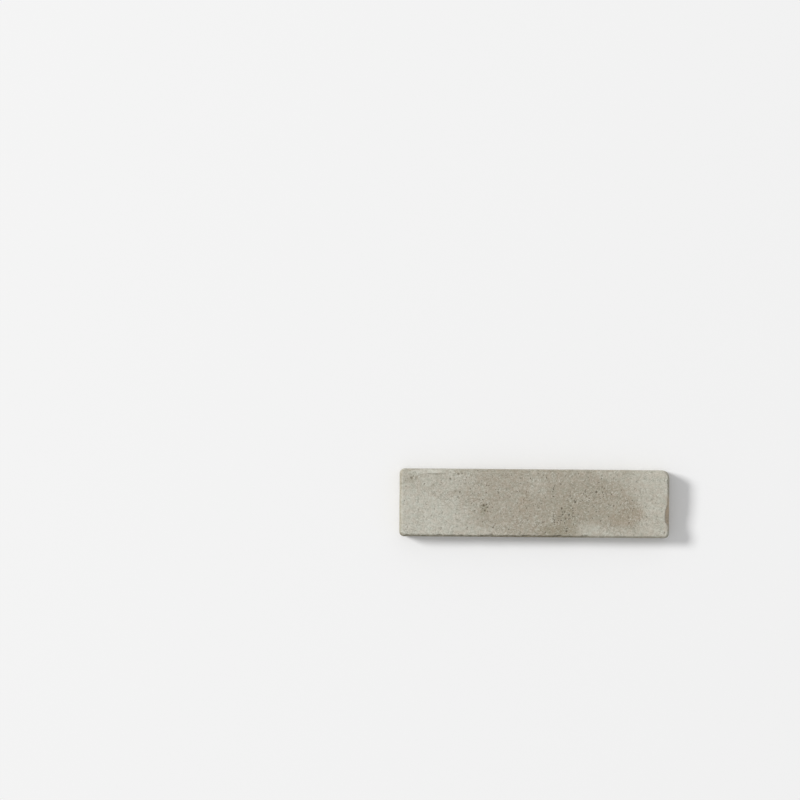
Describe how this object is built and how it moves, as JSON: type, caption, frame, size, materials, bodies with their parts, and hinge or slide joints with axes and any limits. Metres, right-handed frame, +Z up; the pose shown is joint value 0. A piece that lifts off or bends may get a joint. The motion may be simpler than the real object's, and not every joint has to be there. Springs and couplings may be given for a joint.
{
  "type": "tumbled limestone brick tile",
  "caption": "Slim rectangular limestone tile, sawn flat and tumbled, with rounded corners, soft worn arrises and chipped edges, for bedding side by side on walls and floors.",
  "frame": {"origin": "centre of the bed, on the surface that the tile lies on", "axes": "+X along the length to the east end, which has the spall; +Y across to the north edge; +Z up, out of the face"},
  "size_m": [0.2, 0.0504, 0.012],
  "materials": {
    "limestone": "matte"
  },
  "bodies": {
    "root": {"limestone_tile": "limestone"}
  },
  "joints": []
}
